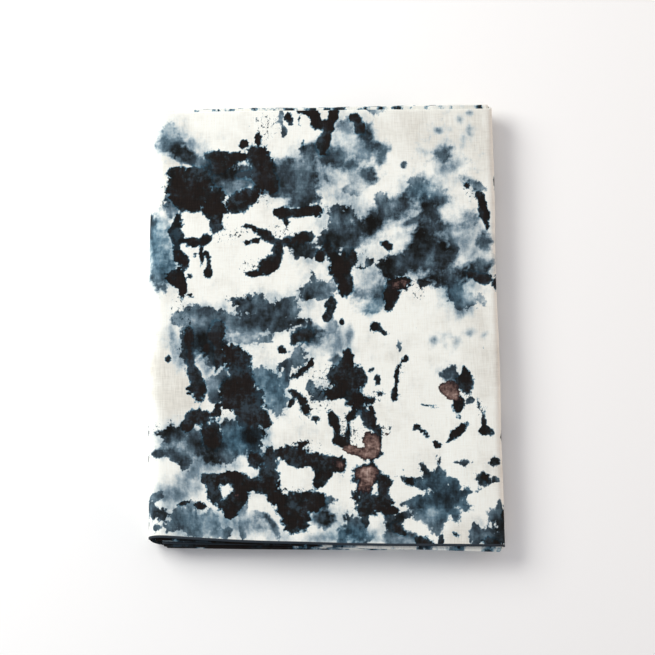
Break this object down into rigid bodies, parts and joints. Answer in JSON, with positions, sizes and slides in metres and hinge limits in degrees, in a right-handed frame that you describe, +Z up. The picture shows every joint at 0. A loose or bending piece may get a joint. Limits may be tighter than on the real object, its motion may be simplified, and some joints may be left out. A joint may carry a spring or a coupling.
{
  "type": "folded tablecloth",
  "caption": "Rectangular dyed linen tablecloth, folded flat into a rounded-spine stack and lying on a table.",
  "frame": {"origin": "on the table, under the middle of the folded cloth's box", "axes": "+X runs right along the hemmed front edge, away from the spine; +Y runs to the back edge; +Z is up"},
  "size_m": [0.2802, 0.357, 0.0222],
  "materials": {
    "dyed_linen": "matte off-white plain-weave linen, marbled with slate, black and brown dye"
  },
  "bodies": {
    "root": {"folded_cloth": "dyed_linen"}
  },
  "joints": []
}
